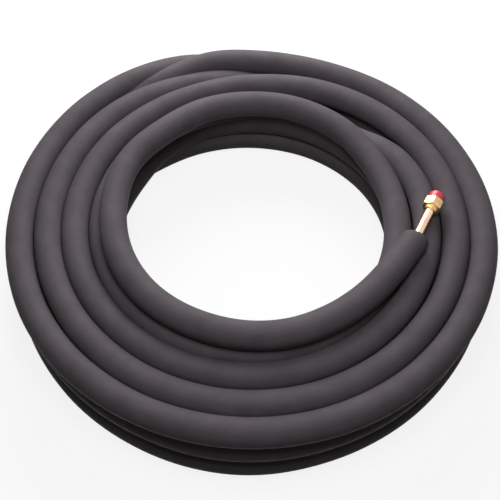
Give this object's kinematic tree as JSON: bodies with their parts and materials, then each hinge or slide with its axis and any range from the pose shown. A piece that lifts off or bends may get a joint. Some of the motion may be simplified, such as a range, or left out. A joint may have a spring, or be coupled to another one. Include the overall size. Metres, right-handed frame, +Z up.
{
  "type": "insulated copper tube coil",
  "caption": "Coil of 1/2 inch copper tube in a dark foam sleeve, with one bare end that has a brass flare nut and a red plastic cap.",
  "frame": {"origin": "on the floor, under the middle of the coil", "axes": "+Z up along the coil's axis, the front of the coil on the -Y side, the bare tube end on the +X side"},
  "size_m": [0.69, 0.6899, 0.1452],
  "materials": {
    "foam": "matt closed-cell foam",
    "copper": "bright drawn copper",
    "brass": "machined",
    "cap_plastic": "moulded"
  },
  "bodies": {
    "root": {"foam_sleeve": "foam", "copper_tube": "copper", "flare_nut": "brass", "end_cap": "cap_plastic"}
  },
  "joints": []
}
